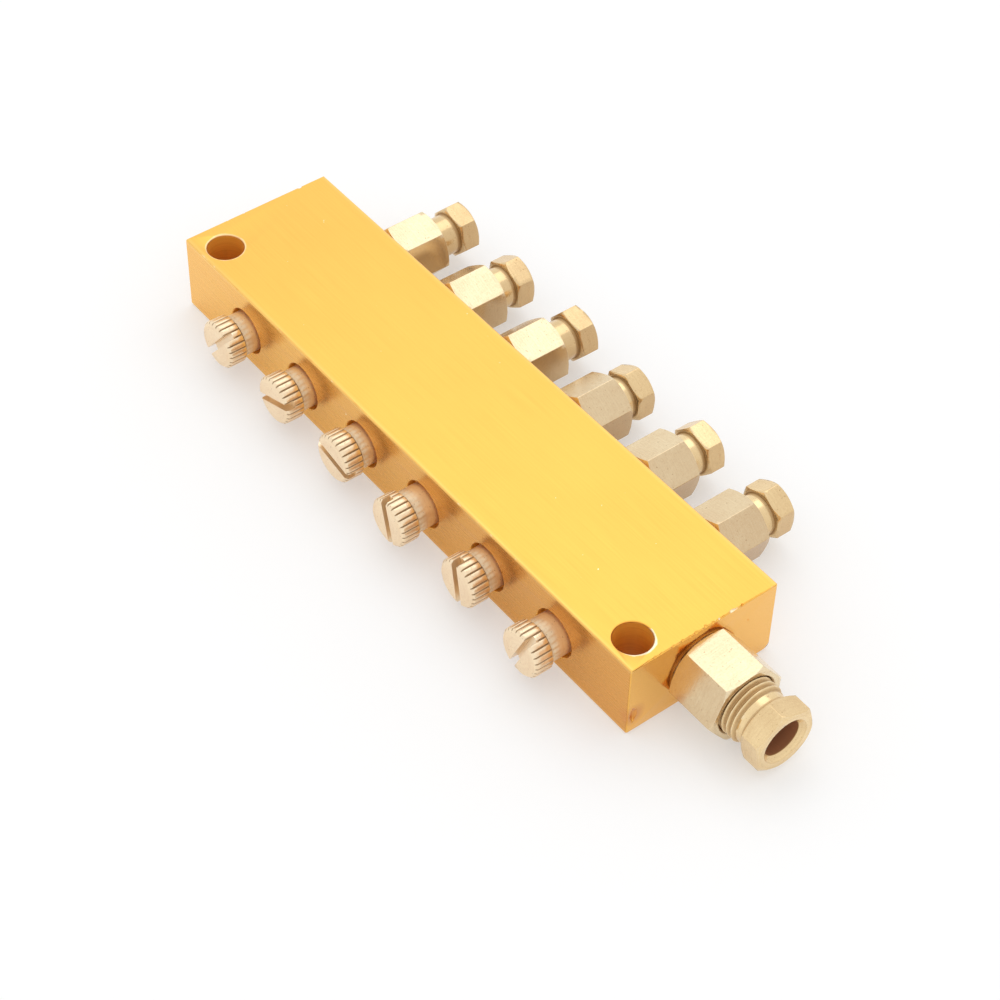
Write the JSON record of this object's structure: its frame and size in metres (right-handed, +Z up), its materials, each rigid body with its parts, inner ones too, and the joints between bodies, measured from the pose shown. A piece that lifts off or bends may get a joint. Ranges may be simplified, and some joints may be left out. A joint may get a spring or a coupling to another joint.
{
  "type": "lubricant divider block",
  "caption": "Drilled anodised bar that divides one lubricant feed among a row of outlets, each with a knurled adjusting screw and a compression fitting.",
  "frame": {"origin": "centre of the block's flat underside", "axes": "+X towards the inlet, +Y towards the outlets, -Y towards the adjusting screws, +Z up"},
  "size_m": [0.132, 0.051, 0.0142],
  "materials": {
    "gold_anodised": "satin gold anodised, brushed along its length",
    "plug_brass": "turned",
    "fitting_brass": "drawn hexagon bar, turned ends",
    "nut_brass": "turned and threaded",
    "washer_brass": "stamped",
    "ferrule_brass": "turned",
    "screw_brass": "turned, knurled and polished",
    "seal_rubber": "moulded"
  },
  "bodies": {
    "manifold": {"manifold_body": "gold_anodised", "end_plug": "plug_brass", "inlet_connector": "fitting_brass", "outlet_connector_1": "fitting_brass", "outlet_connector_2": "fitting_brass", "outlet_connector_3": "fitting_brass", "outlet_connector_4": "fitting_brass", "outlet_connector_5": "fitting_brass", "outlet_connector_6": "fitting_brass", "outlet_washer_1": "washer_brass", "outlet_washer_2": "washer_brass", "outlet_washer_3": "washer_brass", "outlet_washer_4": "washer_brass", "outlet_washer_5": "washer_brass", "outlet_washer_6": "washer_brass"},
    "inlet_ferrule": {"inlet_ferrule": "ferrule_brass"},
    "inlet_nut": {"inlet_nut": "nut_brass"},
    "outlet_ferrule_1": {"outlet_ferrule_1": "ferrule_brass"},
    "outlet_nut_1": {"outlet_nut_1": "nut_brass"},
    "screw_seal_1": {"screw_seal_1": "seal_rubber"},
    "adjusting_screw_1": {"adjusting_screw_1": "screw_brass"},
    "outlet_ferrule_2": {"outlet_ferrule_2": "ferrule_brass"},
    "outlet_nut_2": {"outlet_nut_2": "nut_brass"},
    "screw_seal_2": {"screw_seal_2": "seal_rubber"},
    "adjusting_screw_2": {"adjusting_screw_2": "screw_brass"},
    "outlet_ferrule_3": {"outlet_ferrule_3": "ferrule_brass"},
    "outlet_nut_3": {"outlet_nut_3": "nut_brass"},
    "screw_seal_3": {"screw_seal_3": "seal_rubber"},
    "adjusting_screw_3": {"adjusting_screw_3": "screw_brass"},
    "outlet_ferrule_4": {"outlet_ferrule_4": "ferrule_brass"},
    "outlet_nut_4": {"outlet_nut_4": "nut_brass"},
    "screw_seal_4": {"screw_seal_4": "seal_rubber"},
    "adjusting_screw_4": {"adjusting_screw_4": "screw_brass"},
    "outlet_ferrule_5": {"outlet_ferrule_5": "ferrule_brass"},
    "outlet_nut_5": {"outlet_nut_5": "nut_brass"},
    "screw_seal_5": {"screw_seal_5": "seal_rubber"},
    "adjusting_screw_5": {"adjusting_screw_5": "screw_brass"},
    "outlet_ferrule_6": {"outlet_ferrule_6": "ferrule_brass"},
    "outlet_nut_6": {"outlet_nut_6": "nut_brass"},
    "screw_seal_6": {"screw_seal_6": "seal_rubber"},
    "adjusting_screw_6": {"adjusting_screw_6": "screw_brass"}
  },
  "joints": [
    {"name": "inlet_nut_travel", "type": "slide", "parent": "manifold", "child": "inlet_ferrule", "axis": [-1, 0, 0], "range_m": [-0.00085, 0.00375]},
    {"name": "inlet_nut_turn", "type": "hinge", "parent": "inlet_ferrule", "child": "inlet_nut", "pos_m": [0.057, 0, 0.0062], "axis": [-1, 0, 0], "range_deg": [-306.5, 1350.5]},
    {"name": "outlet_nut_1_travel", "type": "slide", "parent": "manifold", "child": "outlet_ferrule_1", "axis": [0, -1, 0], "range_m": [-0.00155, 0.00305]},
    {"name": "outlet_nut_1_turn", "type": "hinge", "parent": "outlet_ferrule_1", "child": "outlet_nut_1", "pos_m": [-0.04, 0.01375, 0.0062], "axis": [0, -1, 0], "range_deg": [-558.5, 1098.5]},
    {"name": "screw_1_travel", "type": "slide", "parent": "manifold", "child": "screw_seal_1", "axis": [0, 1, 0], "range_m": [-0.0018, 0.0015]},
    {"name": "screw_1_turn", "type": "hinge", "parent": "screw_seal_1", "child": "adjusting_screw_1", "pos_m": [-0.04, -0.01375, 0.0062], "axis": [0, 1, 0], "range_deg": [-864.5, 720.5]},
    {"name": "outlet_nut_2_travel", "type": "slide", "parent": "manifold", "child": "outlet_ferrule_2", "axis": [0, -1, 0], "range_m": [-0.0022, 0.0024]},
    {"name": "outlet_nut_2_turn", "type": "hinge", "parent": "outlet_ferrule_2", "child": "outlet_nut_2", "pos_m": [-0.024, 0.01375, 0.0062], "axis": [0, -1, 0], "range_deg": [-792.5, 864.5]},
    {"name": "screw_2_travel", "type": "slide", "parent": "manifold", "child": "screw_seal_2", "axis": [0, 1, 0], "range_m": [-0.0019, 0.0014]},
    {"name": "screw_2_turn", "type": "hinge", "parent": "screw_seal_2", "child": "adjusting_screw_2", "pos_m": [-0.024, -0.01375, 0.0062], "axis": [0, 1, 0], "range_deg": [-912.5, 672.5]},
    {"name": "outlet_nut_3_travel", "type": "slide", "parent": "manifold", "child": "outlet_ferrule_3", "axis": [0, -1, 0], "range_m": [-0.00175, 0.00285]},
    {"name": "outlet_nut_3_turn", "type": "hinge", "parent": "outlet_ferrule_3", "child": "outlet_nut_3", "pos_m": [-0.008, 0.01375, 0.0062], "axis": [0, -1, 0], "range_deg": [-630.5, 1026.5]},
    {"name": "screw_3_travel", "type": "slide", "parent": "manifold", "child": "screw_seal_3", "axis": [0, 1, 0], "range_m": [-0.002, 0.0013]},
    {"name": "screw_3_turn", "type": "hinge", "parent": "screw_seal_3", "child": "adjusting_screw_3", "pos_m": [-0.008, -0.01375, 0.0062], "axis": [0, 1, 0], "range_deg": [-960.5, 624.5]},
    {"name": "outlet_nut_4_travel", "type": "slide", "parent": "manifold", "child": "outlet_ferrule_4", "axis": [0, -1, 0], "range_m": [-0.00315, 0.00145]},
    {"name": "outlet_nut_4_turn", "type": "hinge", "parent": "outlet_ferrule_4", "child": "outlet_nut_4", "pos_m": [0.008, 0.01375, 0.0062], "axis": [0, -1, 0], "range_deg": [-1134.5, 522.5]},
    {"name": "screw_4_travel", "type": "slide", "parent": "manifold", "child": "screw_seal_4", "axis": [0, 1, 0], "range_m": [-0.0009, 0.0024]},
    {"name": "screw_4_turn", "type": "hinge", "parent": "screw_seal_4", "child": "adjusting_screw_4", "pos_m": [0.008, -0.01375, 0.0062], "axis": [0, 1, 0], "range_deg": [-432.5, 1152.5]},
    {"name": "outlet_nut_5_travel", "type": "slide", "parent": "manifold", "child": "outlet_ferrule_5", "axis": [0, -1, 0], "range_m": [-0.0025, 0.0021]},
    {"name": "outlet_nut_5_turn", "type": "hinge", "parent": "outlet_ferrule_5", "child": "outlet_nut_5", "pos_m": [0.024, 0.01375, 0.0062], "axis": [0, -1, 0], "range_deg": [-900.5, 756.5]},
    {"name": "screw_5_travel", "type": "slide", "parent": "manifold", "child": "screw_seal_5", "axis": [0, 1, 0], "range_m": [-0.0019, 0.0014]},
    {"name": "screw_5_turn", "type": "hinge", "parent": "screw_seal_5", "child": "adjusting_screw_5", "pos_m": [0.024, -0.01375, 0.0062], "axis": [0, 1, 0], "range_deg": [-912.5, 672.5]},
    {"name": "outlet_nut_6_travel", "type": "slide", "parent": "manifold", "child": "outlet_ferrule_6", "axis": [0, -1, 0], "range_m": [-0.0025, 0.0021]},
    {"name": "outlet_nut_6_turn", "type": "hinge", "parent": "outlet_ferrule_6", "child": "outlet_nut_6", "pos_m": [0.04, 0.01375, 0.0062], "axis": [0, -1, 0], "range_deg": [-900.5, 756.5]},
    {"name": "screw_6_travel", "type": "slide", "parent": "manifold", "child": "screw_seal_6", "axis": [0, 1, 0], "range_m": [-0.0011, 0.0022]},
    {"name": "screw_6_turn", "type": "hinge", "parent": "screw_seal_6", "child": "adjusting_screw_6", "pos_m": [0.04, -0.01375, 0.0062], "axis": [0, 1, 0], "range_deg": [-528.5, 1056.5]}
  ],
  "couplings": [
    {"joint": "inlet_nut_turn", "follows": "inlet_nut_travel", "rad_per_m": 6283.2},
    {"joint": "outlet_nut_1_turn", "follows": "outlet_nut_1_travel", "rad_per_m": 6283.2},
    {"joint": "screw_1_turn", "follows": "screw_1_travel", "rad_per_m": 8377.6},
    {"joint": "outlet_nut_2_turn", "follows": "outlet_nut_2_travel", "rad_per_m": 6283.2},
    {"joint": "screw_2_turn", "follows": "screw_2_travel", "rad_per_m": 8377.6},
    {"joint": "outlet_nut_3_turn", "follows": "outlet_nut_3_travel", "rad_per_m": 6283.2},
    {"joint": "screw_3_turn", "follows": "screw_3_travel", "rad_per_m": 8377.6},
    {"joint": "outlet_nut_4_turn", "follows": "outlet_nut_4_travel", "rad_per_m": 6283.2},
    {"joint": "screw_4_turn", "follows": "screw_4_travel", "rad_per_m": 8377.6},
    {"joint": "outlet_nut_5_turn", "follows": "outlet_nut_5_travel", "rad_per_m": 6283.2},
    {"joint": "screw_5_turn", "follows": "screw_5_travel", "rad_per_m": 8377.6},
    {"joint": "outlet_nut_6_turn", "follows": "outlet_nut_6_travel", "rad_per_m": 6283.2},
    {"joint": "screw_6_turn", "follows": "screw_6_travel", "rad_per_m": 8377.6}
  ]
}
